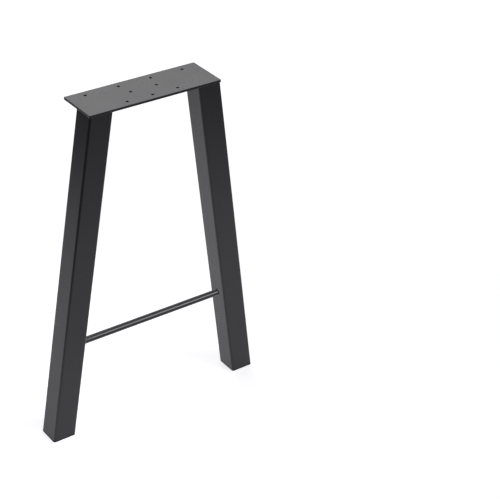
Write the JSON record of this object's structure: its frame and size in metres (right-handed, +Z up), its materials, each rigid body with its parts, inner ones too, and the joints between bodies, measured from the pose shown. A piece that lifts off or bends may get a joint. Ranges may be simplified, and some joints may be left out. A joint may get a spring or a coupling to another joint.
{
  "type": "desk leg",
  "caption": "Splayed black steel desk leg: a flat top plate with screw holes on leaning square tubes, with a round cross bar between them and plastic foot caps.",
  "frame": {"origin": "on the floor, below the middle of the top plate", "axes": "+X along the top plate towards the right tube, +Y to the back, +Z up"},
  "size_m": [0.4998, 0.095, 0.72],
  "materials": {
    "frame_coat": "satin black powder coat",
    "foot_plastic": "matte black moulded plastic"
  },
  "bodies": {
    "root": {"top_plate": "frame_coat", "left_tube": "frame_coat", "right_tube": "frame_coat", "cross_rod": "frame_coat", "left_plate_weld": "frame_coat", "right_plate_weld": "frame_coat", "left_rod_weld": "frame_coat", "right_rod_weld": "frame_coat", "left_foot_cap": "foot_plastic", "right_foot_cap": "foot_plastic"}
  },
  "joints": []
}
